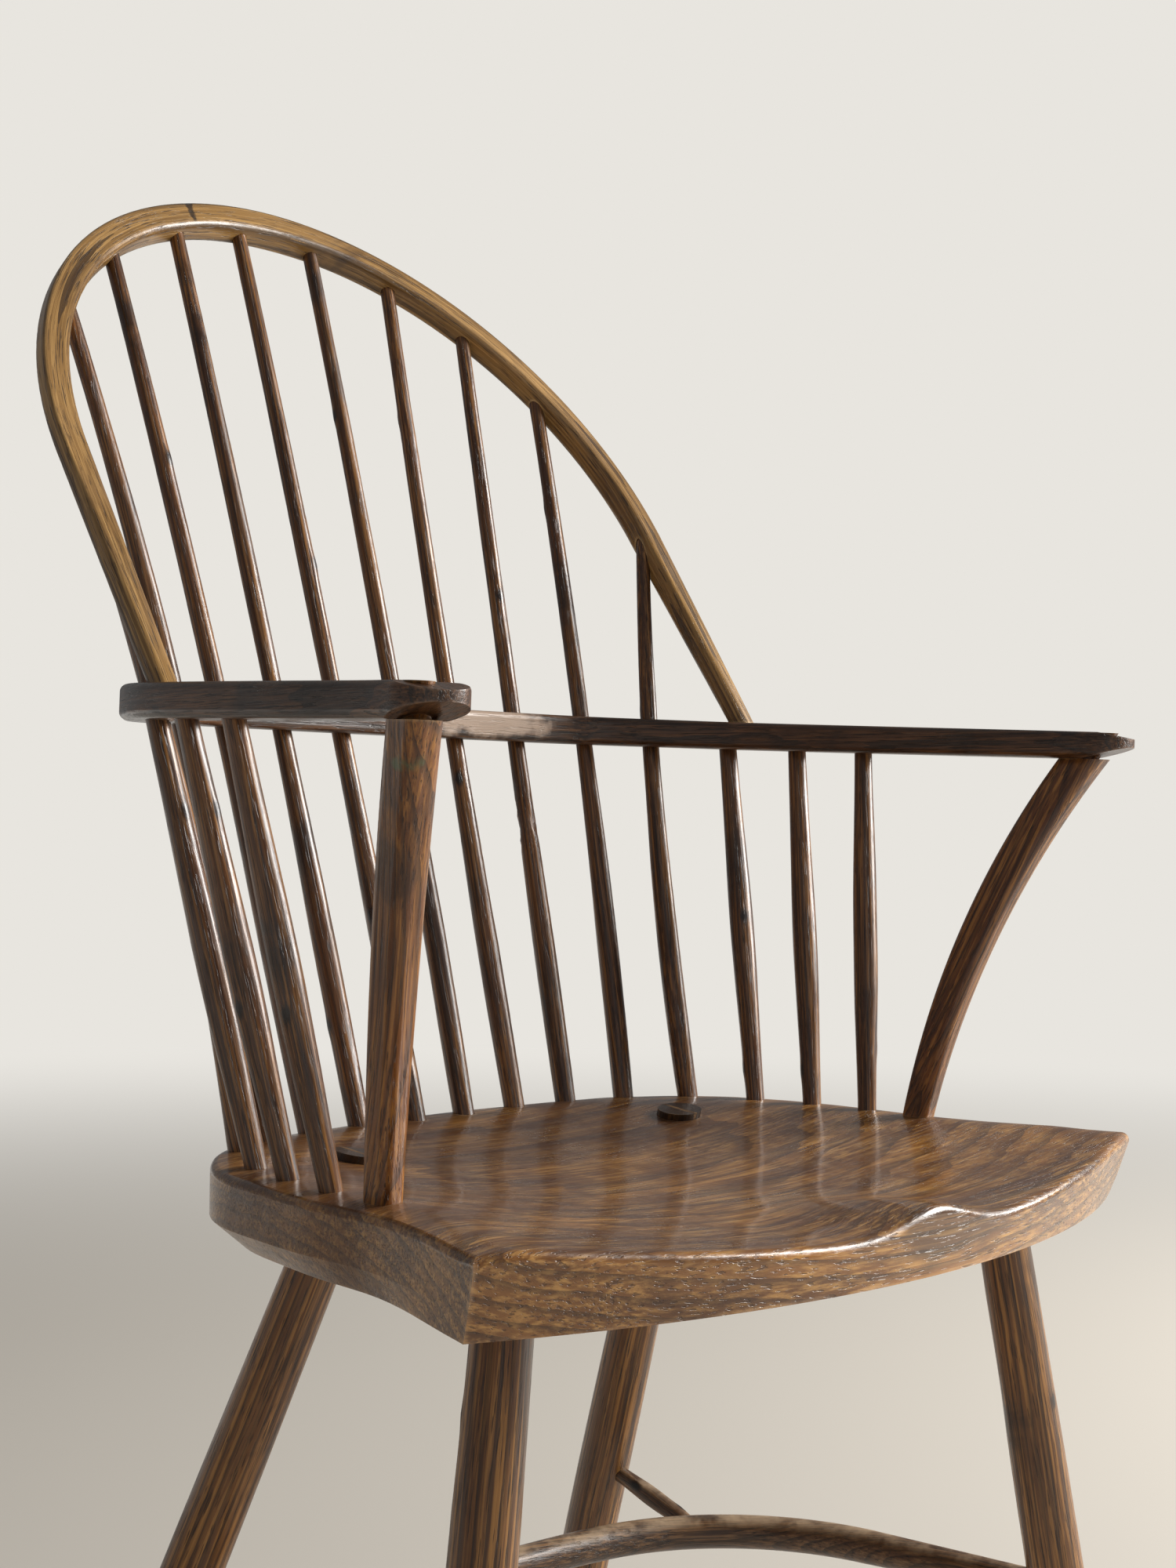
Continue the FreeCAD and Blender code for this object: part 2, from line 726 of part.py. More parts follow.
# Sticks
for i in range(longPerSide):
    parts["long_stick_%d" % (longPerSide + 1 + i)] = longStick("left", i)
    parts["long_stick_%d" % (longPerSide - i)] = longStick("right", i)
for i in range(shortPerSide):
    addPair("short_stick_%d" % (i + 1), shortStick(i))

# Back hoop
hoop = backBow()
longSockets = [longStick(side, i, glueGap) for side in sides for i in range(longPerSide)]
parts["back_bow"] = hoop.cut(longSockets).cut([hoopWedge(glueGap), mirrored(hoopWedge(glueGap))])
addPair("hoop_wedge", hoopWedge())

# Holes
shortSockets = [shortStick(i, glueGap) for i in range(shortPerSide)]
armTools = shortSockets + [postTenons(glueGap)[1], hoopTenon(glueGap)]
armTools += [mirrored(s) for s in armTools]
parts["arm_bow"] = bow.cut(longSockets + armTools)
seatTools = shortSockets + [postTenons(glueGap)[0], rearTenon(glueGap), frontTenon(glueGap)]
seatTools += [mirrored(s) for s in seatTools]
parts["seat"] = plank.cut(longSockets + seatTools)

os.makedirs("parts", exist_ok=True)
for name in sorted(parts):
    shape = parts[name].translated(vec(0, moveBack, 0))
    shape.exportStep("parts/" + name + ".step")
    box = shape.BoundBox
    print("%-22s solids %d valid %s volume %9.0f  z %7.1f %7.1f" % (
        name, len(shape.Solids), shape.isValid(), shape.Volume, box.ZMin, box.ZMax))
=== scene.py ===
import math
import bpy
import numpy as np
from mathutils import Matrix, Vector
from mathutils import noise as hills
from mathutils.bvhtree import BVHTree


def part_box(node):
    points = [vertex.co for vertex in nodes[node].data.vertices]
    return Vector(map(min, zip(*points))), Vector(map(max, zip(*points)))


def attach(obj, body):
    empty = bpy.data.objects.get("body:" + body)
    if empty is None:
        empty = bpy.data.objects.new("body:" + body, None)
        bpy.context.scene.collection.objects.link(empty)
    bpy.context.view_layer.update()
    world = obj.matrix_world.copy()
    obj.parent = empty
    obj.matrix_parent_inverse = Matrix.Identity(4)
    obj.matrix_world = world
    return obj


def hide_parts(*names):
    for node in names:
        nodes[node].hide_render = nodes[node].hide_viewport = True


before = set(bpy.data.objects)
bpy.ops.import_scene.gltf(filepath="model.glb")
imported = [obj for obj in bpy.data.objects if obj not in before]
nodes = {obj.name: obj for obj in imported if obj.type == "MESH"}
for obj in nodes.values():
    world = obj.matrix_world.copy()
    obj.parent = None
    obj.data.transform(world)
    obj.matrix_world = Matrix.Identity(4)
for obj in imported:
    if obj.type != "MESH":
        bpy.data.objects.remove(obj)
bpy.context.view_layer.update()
print("frame loaded:", len(nodes), "wooden pieces")


# Colours are written as they look on screen and turned into Blender's own scale here
def tint(red, green, blue):
    def one(value):
        value = value / 255
        return value / 12.92 if value <= 0.04045 else ((value + 0.055) / 1.055) ** 2.4
    return (one(red), one(green), one(blue), 1.0)


# Small node helpers
def addNode(tree, kind, inputs=None, **settings):
    made = tree.nodes.new(kind)
    for key, value in settings.items():
        setattr(made, key, value)
    for key, value in (inputs or {}).items():
        if isinstance(value, bpy.types.NodeSocket):
            tree.links.new(value, made.inputs[key])
        else:
            made.inputs[key].default_value = value
    return made


def calc(tree, operation, first, second=0.0, third=0.0, clamp=False):
    made = addNode(tree, "ShaderNodeMath", {0: first, 1: second, 2: third}, operation=operation)
    made.use_clamp = clamp
    return made.outputs[0]


def ramp(tree, value, low, high):
    made = addNode(tree, "ShaderNodeMapRange", {0: value, 1: low, 2: high, 3: 0.0, 4: 1.0})
    made.interpolation_type = "SMOOTHSTEP"
    return made.outputs[0]


def blendColour(tree, factor, first, second, mode="MIX"):
    made = addNode(tree, "ShaderNodeMix", data_type="RGBA", blend_type=mode)
    made.clamp_factor = True
    for socket, value in ((made.inputs[0], factor), (made.inputs[6], first), (made.inputs[7], second)):
        if isinstance(value, bpy.types.NodeSocket):
            tree.links.new(value, socket)
        else:
            socket.default_value = value
    return made.outputs[2]


def scaled(tree, vector, scale, shift=(0, 0, 0)):
    made = addNode(tree, "ShaderNodeVectorMath", {0: vector, 1: scale, 2: shift}, operation="MULTIPLY_ADD")
    return made.outputs[0]


def noise(tree, vector, scale, detail=3.0, roughness=0.5, warp=0.0):
    made = addNode(tree, "ShaderNodeTexNoise", {"Vector": vector, "Scale": scale, "Detail": detail,
                                                "Roughness": roughness, "Distortion": warp})
    return made.outputs["Fac"]


# What all the woods share in size: pitches are per metre, pairs are where a pattern starts and is full
finishSizes = {"driftPitch": (5, 22, 22), "tonePitch": (7, 30, 30), "toneFade": (0.3, 0.7),
               "fibreFade": (0.42, 0.68), "poreSoftness": 0.09, "wearAndHighlightFade": (0.995, 0.87),
               "wearAndHighlightPitch": 55.0, "wearAndHighlightBreaks": (0.36, 0.62), "topFade": (0.35, 0.95), "topPitch": 24.0,
               "topBreaks": (0.4, 0.66), "polishPitch": 16.0, "polishBreaks": (0.35, 0.7), "poreDull": 0.12,
               "topDull": 0.2, "handPitch": (16, 55, 55), "knotFade": (0.25, 0.8), "markFade": (1.0, 0.6),
               "markRagged": 1.5, "markPitch": 0.55, "bevelSamples": 6, "bumpHeight": 0.001}


def raggedNoise(tree, place, reach):
    return noise(tree, place, finishSizes["markPitch"] / min(reach), 4, 0.6)


# One material for each kind of wood, in metres; the grain runs along the first of its three directions
def wood(name, look):
    material = bpy.data.materials.new(name)
    material.use_nodes = True
    tree = material.node_tree
    tree.nodes.clear()
    grain = addNode(tree, "ShaderNodeAttribute", attribute_name="grain").outputs["Vector"]
    place = addNode(tree, "ShaderNodeTexCoord").outputs["Object"]

    # slow drift of the grain, so no line runs dead straight
    drift = addNode(tree, "ShaderNodeTexNoise",
                    {"Vector": scaled(tree, grain, finishSizes["driftPitch"]), "Scale": 1.0, "Detail": 2.0})
    drift = addNode(tree, "ShaderNodeVectorMath", {0: drift.outputs["Color"], 1: (0.5, 0.5, 0.5)},
                    operation="SUBTRACT")
    bent = addNode(tree, "ShaderNodeVectorMath",
                   {0: drift.outputs[0], 1: (0.0, look["drift"], look["drift"]), 2: grain},
                   operation="MULTIPLY_ADD").outputs[0]

    # growth rings: dark lines where the surface cuts them
    rings = addNode(tree, "ShaderNodeTexWave", {"Vector": scaled(tree, bent, (look["ringStretch"], 1, 1)),
                                                "Scale": look["ringScale"], "Distortion": look["ringWarp"],
                                                "Detail": 3.0, "Detail Scale": 1.2,
                                                "Detail Roughness": 0.6},
                    wave_type="RINGS", rings_direction="X", wave_profile="SAW").outputs["Fac"]
    ringLine = ramp(tree, rings, look["ringEdge"], 1.0)
    fibre = noise(tree, scaled(tree, bent, (look["fibreLength"], look["fibreWidth"], look["fibreWidth"])),
                  1.0, 5, 0.62)
    pores = noise(tree, scaled(tree, bent, (look["poreLength"], look["poreWidth"], look["poreWidth"])),
                  1.0, 2, 0.5)
    poreLine = ramp(tree, pores, look["poreEdge"], look["poreEdge"] + finishSizes["poreSoftness"])
    tone = noise(tree, scaled(tree, grain, finishSizes["tonePitch"]), 1.0, 3, 0.55)
    cloud = noise(tree, place, look["cloudScale"], 4, 0.6, 0.6)
    stain = ramp(tree, cloud, look["stainFrom"], look["stainTo"])

    colour = blendColour(tree, ramp(tree, tone, *finishSizes["toneFade"]), look["deep"], look["body"])
    colour = blendColour(tree, calc(tree, "MULTIPLY", ramp(tree, fibre, *finishSizes["fibreFade"]),
                                    look["fibreShare"]), colour, look["light"])
    colour = blendColour(tree, calc(tree, "MULTIPLY", ringLine, look["ringShare"]), colour, look["line"])
    colour = blendColour(tree, calc(tree, "MULTIPLY", poreLine, look["poreShare"]), colour, look["line"])
    colour = blendColour(tree, calc(tree, "MULTIPLY", stain, look["stainShare"]), colour, look["stain"])

    # wear and painted highlight: arrises rub pale and are lightened further as a painted highlight where
    # light catches them, and tops take their own colour (dust on the stretcher, dark wax on the seat)
    rounded = addNode(tree, "ShaderNodeBevel", {"Radius": look["wearAndHighlightWidth"]},
                      samples=finishSizes["bevelSamples"]).outputs[0]
    facing = addNode(tree, "ShaderNodeNewGeometry")
    bendDot = addNode(tree, "ShaderNodeVectorMath", {0: rounded, 1: facing.outputs["Normal"]},
                      operation="DOT_PRODUCT")
    edge = ramp(tree, bendDot.outputs["Value"], *finishSizes["wearAndHighlightFade"])
    broken = ramp(tree, noise(tree, place, finishSizes["wearAndHighlightPitch"], 3, 0.6), *finishSizes["wearAndHighlightBreaks"])
    edge = calc(tree, "MULTIPLY", calc(tree, "MULTIPLY", edge, broken), look["wearAndHighlightShare"])
    colour = blendColour(tree, edge, colour, look["wornAndHighlight"])
    upward = addNode(tree, "ShaderNodeSeparateXYZ", {0: facing.outputs["Normal"]}).outputs[2]
    dusty = ramp(tree, noise(tree, place, finishSizes["topPitch"], 4, 0.65), *finishSizes["topBreaks"])
    topWear = calc(tree, "MULTIPLY", ramp(tree, upward, *finishSizes["topFade"]), dusty)
    topWear = calc(tree, "MULTIPLY", topWear, look["topShare"])
    colour = blendColour(tree, topWear, colour, look["top"])

    # knots, where a shaved piece has them
    knot = addNode(tree, "ShaderNodeAttribute", attribute_name="knot").outputs["Fac"]
    colour = blendColour(tree, ramp(tree, knot, *finishSizes["knotFade"]), colour, look["line"])

    # marks at one place each: centre, reach, colour, strength
    for centre, reach, mark, strength in look.get("marks", []):
        away = addNode(tree, "ShaderNodeVectorMath", {0: place, 1: centre}, operation="SUBTRACT").outputs[0]
        away = addNode(tree, "ShaderNodeVectorMath", {0: away, 1: tuple(1 / part for part in reach)},
                       operation="MULTIPLY")
        far = addNode(tree, "ShaderNodeVectorMath", {0: away.outputs[0]},
                      operation="LENGTH").outputs["Value"]
        uneven = calc(tree, "SUBTRACT", raggedNoise(tree, place, reach), 0.5)
        ragged = calc(tree, "ADD", far, calc(tree, "MULTIPLY", uneven, finishSizes["markRagged"]))
        inside = calc(tree, "MULTIPLY", ramp(tree, ragged, *finishSizes["markFade"]), strength)
        colour = blendColour(tree, inside, colour, mark)

    # polish: rubbed wax over the grain, duller in the pores, in patches and on the tops
    rough = calc(tree, "MULTIPLY_ADD", fibre, look["roughFibre"], look["rough"])
    rough = calc(tree, "ADD", rough, calc(tree, "MULTIPLY", poreLine, finishSizes["poreDull"]))
    patchy = ramp(tree, noise(tree, place, finishSizes["polishPitch"], 3, 0.5),
                  *finishSizes["polishBreaks"])
    rough = calc(tree, "ADD", rough, calc(tree, "MULTIPLY", patchy, look["roughCloud"]))
    rough = calc(tree, "ADD", rough, calc(tree, "MULTIPLY", topWear, finishSizes["topDull"]), clamp=True)

    height = calc(tree, "MULTIPLY_ADD", fibre, look["fibreBump"],
                  calc(tree, "MULTIPLY", ringLine, -look["ringBump"]))
    height = calc(tree, "SUBTRACT", height, calc(tree, "MULTIPLY", poreLine, look["poreBump"]))
    handWork = noise(tree, scaled(tree, grain, finishSizes["handPitch"]), 1.0, 2, 0.5)
    height = calc(tree, "MULTIPLY_ADD", handWork, look["handBump"], height)
    bump = addNode(tree, "ShaderNodeBump", {"Strength": 1.0, "Distance": finishSizes["bumpHeight"],
                                            "Height": height}).outputs[0]
    surface = addNode(tree, "ShaderNodeBsdfPrincipled",
                      {"Base Color": colour, "Roughness": rough, "Normal": bump,
                       "Specular IOR Level": look["specular"], "Coat Weight": look["coat"],
                       "Coat Roughness": look["coatRough"]})
    addNode(tree, "ShaderNodeOutputMaterial", {"Surface": surface.outputs[0]})
    return material


# What every wood shares; each kind below changes what differs
plainWood = {
    # worn is the pale of rubbed arrises and also a painted highlight along them
    "deep": tint(66, 36, 15), "body": tint(112, 70, 34), "light": tint(170, 118, 62),
    "line": tint(30, 15, 6), "stain": tint(34, 17, 8), "wornAndHighlight": tint(196, 158, 110),
    "top": tint(150, 128, 104), "drift": 0.006, "ringStretch": 0.12, "ringScale": 55.0, "ringWarp": 1.6,
    "ringEdge": 0.5, "ringShare": 0.7, "fibreLength": 14.0, "fibreWidth": 620.0, "fibreShare": 0.75,
    "poreLength": 45.0, "poreWidth": 1100.0, "poreEdge": 0.57, "poreShare": 0.75, "cloudScale": 9.0,
    "stainFrom": 0.56, "stainTo": 0.7, "stainShare": 0.75, "wearAndHighlightWidth": 0.0025, "wearAndHighlightShare": 0.55,
    "topShare": 0.0, "rough": 0.2, "roughFibre": 0.16, "roughCloud": 0.14, "fibreBump": 0.22,
    "ringBump": 0.1, "poreBump": 0.2, "handBump": 0.5, "specular": 0.5, "coat": 0.3, "coatRough": 0.2,
}

looks = {
    "elmSeat": dict(plainWood, deep=tint(98, 58, 24), body=tint(158, 106, 52), light=tint(214, 162, 92),
                    line=tint(54, 29, 11), stain=tint(72, 38, 16), drift=0.018, ringStretch=0.07,
                    ringScale=38.0, ringWarp=1.9, ringEdge=0.4, ringShare=0.6, fibreLength=5.0,
                    fibreWidth=420.0, fibreShare=0.75, poreLength=40.0, poreWidth=800.0, poreShare=0.6,
                    cloudScale=7.0, stainFrom=0.48, stainTo=0.66, stainShare=0.6, wearAndHighlightWidth=0.005,
                    wearAndHighlightShare=0.45, wornAndHighlight=tint(214, 176, 138), top=tint(84, 48, 24), topShare=0.62,
                    rough=0.15, roughFibre=0.14, roughCloud=0.16, handBump=0.9, fibreBump=0.25, coat=0.4,
                    coatRough=0.14,
                    marks=[((-0.262, -0.272, 0.405), (0.02, 0.02, 0.03), tint(92, 92, 52), 0.5),
                           ((0.0, 0.02, 0.42), (0.17, 0.06, 0.03), tint(62, 34, 16), 0.5),
                           ((0.02, -0.29, 0.41), (0.06, 0.02, 0.02), tint(60, 40, 18), 0.45)]),
    "ashHoop": dict(plainWood, deep=tint(100, 70, 34), body=tint(152, 114, 62), light=tint(196, 154, 94),
                    line=tint(46, 28, 12), stain=tint(50, 30, 14), ringScale=75.0, ringStretch=0.03,
                    ringShare=0.75, fibreWidth=620.0, fibreLength=9.0, stainFrom=0.6, stainTo=0.72,
                    wearAndHighlightShare=0.8, wornAndHighlight=tint(212, 180, 130), handBump=0.4,
                    marks=[((-0.077, 0.272, 1.03), (0.004, 0.03, 0.02), tint(24, 13, 6), 0.85),
                           ((-0.215, 0.16, 0.87), (0.012, 0.03, 0.012), tint(40, 22, 10), 0.8)]),
    "ashArm": dict(plainWood, deep=tint(46, 25, 12), body=tint(80, 48, 25), light=tint(126, 86, 52),
                   line=tint(20, 10, 5), stain=tint(22, 12, 7), ringScale=65.0, ringStretch=0.05,
                   stainShare=0.8, stainFrom=0.52, wornAndHighlight=tint(168, 136, 112), wearAndHighlightShare=0.55, rough=0.18,
                   marks=[((0.09, 0.145, 0.684), (0.06, 0.02, 0.014), tint(196, 172, 152), 0.75)]),
    "ashStick": dict(plainWood, deep=tint(64, 35, 16), body=tint(110, 68, 34), light=tint(176, 124, 68),
                     line=tint(30, 15, 7), ringScale=130.0, ringStretch=0.01, ringShare=0.6,
                     fibreWidth=560.0, fibreLength=6.0, drift=0.0025, stainFrom=0.55, stainTo=0.68,
                     stainShare=0.7, handBump=0.9, rough=0.17),
    "ashPost": dict(plainWood, deep=tint(86, 46, 19), body=tint(140, 86, 39), light=tint(192, 132, 64),
                    line=tint(44, 22, 8), stain=tint(46, 22, 9), ringScale=80.0, ringStretch=0.02,
                    fibreWidth=460.0, fibreLength=6.0, drift=0.003, stainFrom=0.54, stainTo=0.66,
                    stainShare=0.8, handBump=0.8,
                    marks=[((-0.284, -0.196, 0.643), (0.007, 0.01, 0.007), tint(86, 104, 70), 0.85),
                           ((-0.275, -0.17, 0.588), (0.016, 0.02, 0.026), tint(50, 25, 11), 0.6)]),
    "ashLeg": dict(plainWood, deep=tint(82, 48, 22), body=tint(132, 86, 42), light=tint(190, 136, 72),
                   line=tint(36, 19, 8), ringScale=70.0, ringStretch=0.02, fibreWidth=440.0,
                   fibreLength=6.0, drift=0.004, stainFrom=0.53, stainTo=0.68, stainShare=0.8, handBump=0.8,
                   rough=0.24,
                   marks=[((0.137, 0.01, 0.43), (0.024, 0.024, 0.02), tint(30, 18, 10), 0.9),
                          ((-0.137, 0.01, 0.43), (0.024, 0.024, 0.02), tint(30, 18, 10), 0.9)]),
    "ashStretcher": dict(plainWood, deep=tint(54, 34, 20), body=tint(92, 62, 38), light=tint(140, 104, 68),
                         line=tint(26, 15, 8), ringScale=90.0, ringStretch=0.03, topShare=0.75,
                         top=tint(190, 164, 132), stainShare=0.7, rough=0.26),
    "wedgeWood": dict(plainWood, deep=tint(66, 44, 24), body=tint(110, 78, 46), light=tint(144, 108, 68),
                      wearAndHighlightShare=0.2, ringScale=150.0, rough=0.4, coat=0.05),
}
woods = {name: wood(name, look) for name, look in looks.items()}
print("wood finishes made:", ", ".join(woods))


# Lines that the bent pieces follow, in metres
hoopLine = {"lean": 33.8, "halfWidth": 0.2445, "footY": 0.04518, "footZ": 0.6785, "straight": 0.174}
armPlan = {"line": [(0, 0.1672), (0.0767, 0.1635), (0.1289, 0.1565), (0.1767, 0.1421), (0.2135, 0.1004),
                    (0.243, 0.0547),
                    (0.257, 0.01), (0.2652, -0.0431), (0.275, -0.1203), (0.2847, -0.1973),
                    (0.2885, -0.2323)],
           "z": 0.672, "stepsBetween": 6}
stretcherPlan = {"middleY": -0.2, "reach": 0.25}
grainShift = {"along": 1.37, "side": 0.618, "front": 0.382, "range": 0.05}
sideAim = (0.31, 0.95, 0.02)


def straightGrain(points):
    centre = points.mean(axis=0)
    axis = np.linalg.svd(points - centre, full_matrices=False)[2][0]
    if axis[2] + 0.01 * axis[0] < 0:
        axis = -axis
    side = np.cross(axis, sideAim)
    side = side / np.linalg.norm(side)
    front = np.cross(axis, side)
    off = points - centre
    return np.stack([off @ axis, off @ side, off @ front], axis=1)


def hoopGrain(points):
    lean = math.radians(hoopLine["lean"])
    rise = np.array((0, math.sin(lean), math.cos(lean)))
    back = np.array((0, math.cos(lean), -math.sin(lean)))
    spring = np.array((0, hoopLine["footY"], hoopLine["footZ"])) + rise * hoopLine["straight"]
    off = points - spring
    up = off @ rise
    side = off[:, 0]
    radius = hoopLine["halfWidth"]
    turn = np.arctan2(side, np.maximum(up, 0))
    along = np.where(up > 0, turn * radius, np.sign(side) * (radius * math.pi / 2 - up))
    across = np.where(up > 0, np.hypot(side, up), np.abs(side)) - radius
    return np.stack([along, across, off @ back], axis=1)


def bowGrain(points):
    half = [Vector((x, y, 0)) for x, y in armPlan["line"]]
    line = [Vector((-p.x, p.y, 0)) for p in reversed(half[1:])] + half
    route = [line[0]]
    for first, second in zip(line, line[1:]):
        steps = armPlan["stepsBetween"]
        route += [first.lerp(second, step / steps) for step in range(1, steps + 1)]
    route = np.array([(p.x, p.y) for p in route])
    lengths = np.concatenate([[0], np.cumsum(np.hypot(*np.diff(route, axis=0).T))])
    steps = np.diff(route, axis=0)
    sizes = np.hypot(*steps.T)
    result = []
    for x, y, z in points:
        off = np.array((x, y)) - route[:-1]
        share = np.clip((off * steps).sum(axis=1) / sizes ** 2, 0, 1)
        gap = off - steps * share[:, None]
        away = np.hypot(*gap.T)
        best = int(away.argmin())
        side = np.sign(steps[best][0] * gap[best][1] - steps[best][1] * gap[best][0])
        result.append((lengths[best] + share[best] * sizes[best], away[best] * side, z - armPlan["z"]))
    return np.array(result)


def stretcherGrain(points):
    back = points[:, 1] - stretcherPlan["middleY"]
    turn = np.arctan2(points[:, 0], back)
    radius = np.hypot(points[:, 0], back)
    return np.stack([turn * stretcherPlan["reach"], radius, points[:, 2]], axis=1)


def seatGrain(points):
    # a plank's grain runs straight across the chair
    return points


# Each CAD piece is copied, told which way its grain runs, and given its wood
pieceKinds = [
    ("seat", "elmSeat", "elm_seat", seatGrain), ("back_bow", "ashHoop", "hoop_wood", hoopGrain),
    ("arm_bow", "ashArm", "arm_wood", bowGrain),
    ("crinoline_stretcher", "ashStretcher", "stretcher_wood", stretcherGrain),
    ("long_stick", "ashStick", "stick_wood", straightGrain),
    ("short_stick", "ashStick", "stick_wood", straightGrain),
    ("arm_post", "ashPost", "post_wood", straightGrain), ("front_leg", "ashLeg", "leg_wood", straightGrain),
    ("rear_leg", "ashLeg", "leg_wood", straightGrain),
    ("spur", "ashStretcher", "stretcher_wood", straightGrain),
    ("hoop_wedge", "wedgeWood", "wedge_wood", straightGrain),
    ("leg_wedge", "wedgeWood", "wedge_wood", straightGrain),
    ("post_wedge", "wedgeWood", "wedge_wood", straightGrain),
]


def kindOf(node):
    return next(kind for kind in pieceKinds if node.startswith(kind[0]))


def addGrain(mesh, grainOf, seed):
    points = np.empty(len(mesh.vertices) * 3)
    mesh.vertices.foreach_get("co", points)
    values = grainOf(points.reshape(-1, 3))
    if seed:
        side = (seed * grainShift["side"] % 1 - 0.5) * grainShift["range"]
        front = (seed * grainShift["front"] % 1 - 0.5) * grainShift["range"]
        values = values + np.array((seed * grainShift["along"], side, front))
    layer = mesh.attributes.new("grain", "FLOAT_VECTOR", "POINT")
    layer.data.foreach_set("vector", values.astype(np.float32).ravel())


# Round pieces are shaved by hand: rings laid on the CAD surface, with slight flats, thin places and knots
shaving = {"ringGap": 0.0042, "fewestRings": 12, "sides": 22, "flat": 0.07, "flatPitch": 14,
           "flatSeed": 7.3, "aroundPitch": 1.1, "waver": 0.05, "waverPitch": 9, "waverSeed": 3.1,
           "knots": 2, "knotReach": 0.006, "knotRise": 0.0006, "knotLength": 0.6, "knotFall": 2.5,
           "endGap": 0.0003, "capDepth": 0.0008, "spareReach": 0.004}


def knotPlaces(seed, count):
    # along the piece as a ring's number, and round it as an angle
    places = []
    for i in range(shaving["knots"]):
        places.append((((seed * 0.618 + i * 0.37) % 0.8 + 0.1) * count,
                       (seed * 2.4 + i * 1.7) % (2 * math.pi)))
    return places


def shaved(node, seed):
    source = nodes[node].data
    tree = BVHTree.FromObject(nodes[node], bpy.context.evaluated_depsgraph_get())
    points = np.array([v.co for v in source.vertices])
    middle = points.mean(axis=0)
    axis = np.linalg.svd(points - middle, full_matrices=False)[2][0]
    along = (points - middle) @ axis
    low, high = along.min(), along.max()
    centre = Vector(points[along < low + shaving["capDepth"]].mean(axis=0))
    axis = Vector(axis)
    side = axis.cross(Vector(sideAim)).normalized()
    front = axis.cross(side).normalized()
    count = max(shaving["fewestRings"], int((high - low) / shaving["ringGap"]))
    step = (high - low - 2 * shaving["endGap"]) / count
    centre += axis * shaving["endGap"]
    knots = knotPlaces(seed, count)
    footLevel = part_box(node)[0][2]
    verts, marks = [], []
    for ring in range(count + 1):
        for _ in range(2):
            shift = Vector()
            for way in (side, front):
                ahead = tree.ray_cast(centre, way)[3]
                behind = tree.ray_cast(centre, -way)[3]
                if ahead and behind:
                    shift += way * (ahead - behind) / 2
            centre += shift
        for turn in range(shaving["sides"]):
            angle = 2 * math.pi * turn / shaving["sides"]
            way = side * math.cos(angle) + front * math.sin(angle)
            reach = tree.ray_cast(centre, way)[3] or shaving["spareReach"]
            lengthwise = ring * step * shaving["flatPitch"] + seed * shaving["flatSeed"]
            around = Vector((math.cos(angle), math.sin(angle))) * shaving["aroundPitch"]
            place = Vector((lengthwise, around.x, around.y))
            thin = max(0.0, hills.noise(place)) * shaving["flat"]
            lengthwise = ring * step * shaving["waverPitch"] + seed * shaving["waverSeed"]
            thin += max(0.0, hills.noise(Vector((lengthwise, 0, seed)))) * shaving["waver"]
            mark = 0.0
            for knotRing, knotAngle in knots:
                around = (angle - knotAngle + math.pi) % (2 * math.pi) - math.pi
                away = math.hypot((ring - knotRing) * step * shaving["knotLength"], around * reach)
                away = away / shaving["knotReach"]
                mark = max(mark, math.exp(-away * away * shaving["knotFall"]))
            rise = mark * shaving["knotRise"] if 0 < ring < count else 0.0
            spot = centre + way * (reach * (1 - thin) + rise)
            verts.append((spot.x, spot.y, max(spot.z, footLevel)))
            marks.append(mark)
        centre += axis * step
    sides = shaving["sides"]
    # one quad strip for each pair of rings, and a cap at each end
    faces = [(ring * sides + turn, ring * sides + (turn + 1) % sides,
              (ring + 1) * sides + (turn + 1) % sides,
              (ring + 1) * sides + turn) for ring in range(count) for turn in range(sides)]
    faces.append(tuple(reversed(range(sides))))
    faces.append(tuple(range(count * sides, (count + 1) * sides)))
    mesh = bpy.data.meshes.new("shaved_" + node)
    mesh.from_pydata(verts, [], faces)
    mesh.update()
    for face in mesh.polygons:
        face.use_smooth = len(face.vertices) == 4
    layer = mesh.attributes.new("knot", "FLOAT", "POINT")
    layer.data.foreach_set("value", marks)
    return mesh


# Pieces with a wedge slot or tenon holes keep the CAD mesh, so that what fits in them still fits
shavedKinds = ("long_stick", "short_stick", "front_leg", "spur")
dressed = {}
for number, node in enumerate(sorted(nodes)):
    start, finish, slotName, grainOf = kindOf(node)
    mesh = shaved(node, number) if start in shavedKinds else nodes[node].data.copy()
    piece = bpy.data.objects.new("wood_" + node, mesh)
    bpy.context.scene.collection.objects.link(piece)
    mesh.materials.clear()
    mesh.materials.append(woods[finish])
    for face in mesh.polygons:
        face.material_index = 0
    addGrain(mesh, grainOf, number if grainOf is straightGrain else 0)
    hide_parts(node)
    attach(piece, "root")
    dressed[node] = piece
print("pieces dressed:", len(dressed))


# Floor: a pale round sheet that fades into the background
studio = {"floorReach": 14.0, "floorColour": tint(206, 200, 190), "backColour": tint(232, 229, 223),
          "keyPower": 215.0, "keyPlace": (2.75, -1.75, 1.95), "keySize": (1.5, 1.9), "fillPower": 2.5,
          "keyColour": (1.0, 0.98, 0.95), "fillPlace": (-1.7, -2.2, 1.4), "fillSize": (2.0, 2.0),
          "fillColour": (1.0, 0.97, 0.93), "aim": (0, 0, 0.55), "skyStrength": 0.24,
          "airColour": tint(236, 236, 236), "floorSides": 96, "floorRough": 0.8, "fadeFrom": 1.2,
          "fadeTo": 4.5}


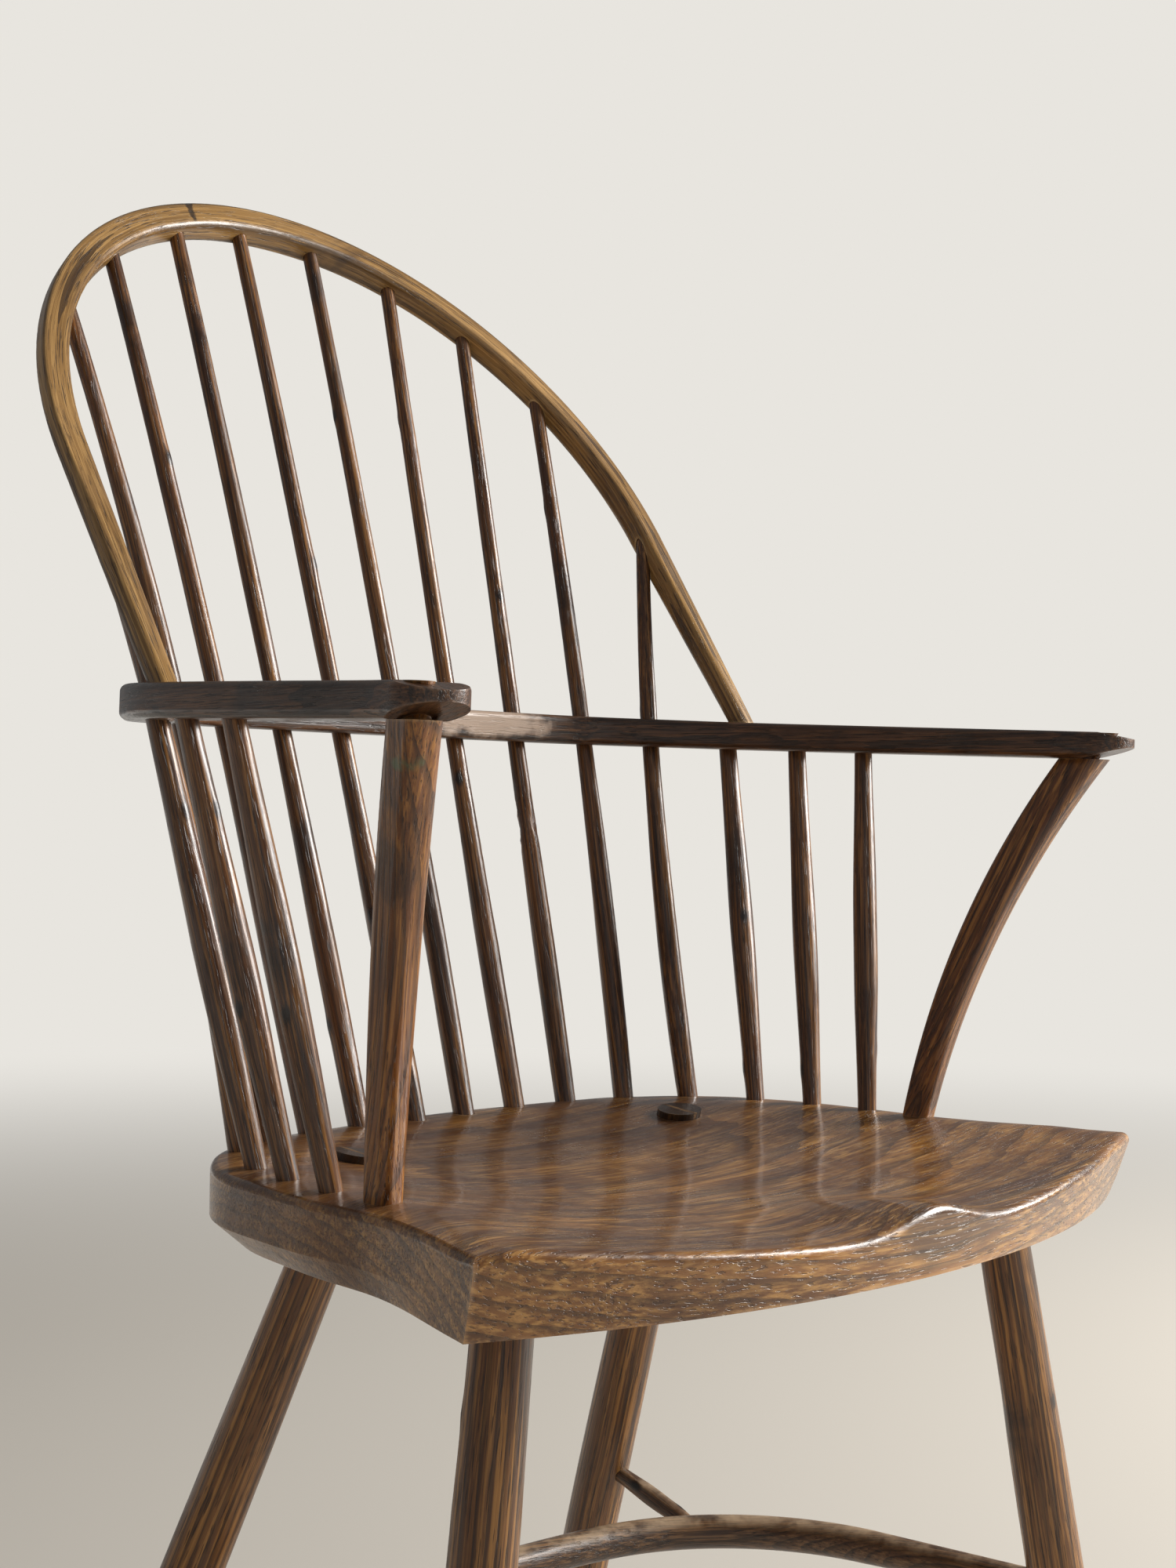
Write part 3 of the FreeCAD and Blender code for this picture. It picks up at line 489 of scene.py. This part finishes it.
def makeFloor():
    sides = studio["floorSides"]
    reach = studio["floorReach"]
    angles = [2 * math.pi * i / sides for i in range(sides)]
    rim = [(reach * math.cos(angle), reach * math.sin(angle), 0) for angle in angles]
    mesh = bpy.data.meshes.new("floorSheet")
    mesh.from_pydata(rim, [], [tuple(range(sides))])
    floor = bpy.data.objects.new("floorSheet", mesh)
    bpy.context.scene.collection.objects.link(floor)
    material = bpy.data.materials.new("floorPaint")
    material.use_nodes = True
    tree = material.node_tree
    tree.nodes.clear()
    place = addNode(tree, "ShaderNodeTexCoord").outputs["Object"]
    away = addNode(tree, "ShaderNodeVectorMath", {0: place}, operation="LENGTH").outputs["Value"]
    seen = addNode(tree, "ShaderNodeLightPath")
    looking = calc(tree, "MAXIMUM", seen.outputs["Is Camera Ray"], seen.outputs["Is Glossy Ray"])
    fade = calc(tree, "MULTIPLY", ramp(tree, away, studio["fadeFrom"], studio["fadeTo"]), looking)
    paint = addNode(tree, "ShaderNodeBsdfPrincipled",
                    {"Base Color": studio["floorColour"], "Roughness": studio["floorRough"]})
    glow = addNode(tree, "ShaderNodeEmission", {"Color": studio["backColour"], "Strength": 1.0})
    both = addNode(tree, "ShaderNodeMixShader", {0: fade, 1: paint.outputs[0], 2: glow.outputs[0]})
    addNode(tree, "ShaderNodeOutputMaterial", {"Surface": both.outputs[0]})
    mesh.materials.append(material)


def addLamp(name, place, size, power, colour):
    lamp = bpy.data.lights.new(name, "AREA")
    lamp.shape = "RECTANGLE"
    lamp.size, lamp.size_y = size
    lamp.energy = power
    lamp.color = colour
    holder = bpy.data.objects.new(name, lamp)
    holder.location = place
    holder.rotation_euler = (Vector(studio["aim"]) - Vector(place)).to_track_quat("-Z", "Y").to_euler()
    bpy.context.scene.collection.objects.link(holder)


def makeStudio():
    makeFloor()
    addLamp("windowLight", studio["keyPlace"], studio["keySize"], studio["keyPower"], studio["keyColour"])
    addLamp("fillLight", studio["fillPlace"], studio["fillSize"], studio["fillPower"], studio["fillColour"])
    world = bpy.data.worlds.new("studioAir")
    bpy.context.scene.world = world
    world.use_nodes = True
    tree = world.node_tree
    tree.nodes.clear()
    seen = addNode(tree, "ShaderNodeLightPath")
    looking = calc(tree, "MAXIMUM", seen.outputs["Is Camera Ray"], seen.outputs["Is Transmission Ray"])
    air = addNode(tree, "ShaderNodeBackground",
                  {"Color": studio["airColour"], "Strength": studio["skyStrength"]})
    behind = addNode(tree, "ShaderNodeBackground", {"Color": studio["backColour"], "Strength": 1.0})
    both = addNode(tree, "ShaderNodeMixShader", {0: looking, 1: air.outputs[0], 2: behind.outputs[0]})
    addNode(tree, "ShaderNodeOutputWorld", {"Surface": both.outputs[0]})


# Camera where the photographer stood, on an image 1500 wide and 2000 high
view = {"place": (-0.910567, -0.901908, 0.616084), "azimuth": -46.413, "pitch": 1.038, "roll": 0.699,
        "lens": 64.8,
        "sensor": 36.0, "nearest": 0.05}


def makeCamera():
    turn, pitch, roll = (math.radians(view[key]) for key in ("azimuth", "pitch", "roll"))
    ahead = Vector((-math.sin(turn) * math.cos(pitch), math.cos(turn) * math.cos(pitch), math.sin(pitch)))
    right = Vector((math.cos(turn), math.sin(turn), 0))
    up = right.cross(ahead)
    side = right * math.cos(roll) + up * math.sin(roll)
    top = up * math.cos(roll) - right * math.sin(roll)
    camera = bpy.data.cameras.new("photoCamera")
    camera.sensor_fit = "HORIZONTAL"
    camera.sensor_width = view["sensor"]
    camera.lens = view["lens"]
    camera.clip_start = view["nearest"]
    holder = bpy.data.objects.new("photoCamera", camera)
    bpy.context.scene.collection.objects.link(holder)
    holder.matrix_world = Matrix((
        (side.x, top.x, -ahead.x, view["place"][0]),
        (side.y, top.y, -ahead.y, view["place"][1]),
        (side.z, top.z, -ahead.z, view["place"][2]),
        (0, 0, 0, 1)))
    bpy.context.scene.camera = holder


makeStudio()
makeCamera()
bpy.context.scene.view_settings.view_transform = "Standard"
print("studio and camera set")
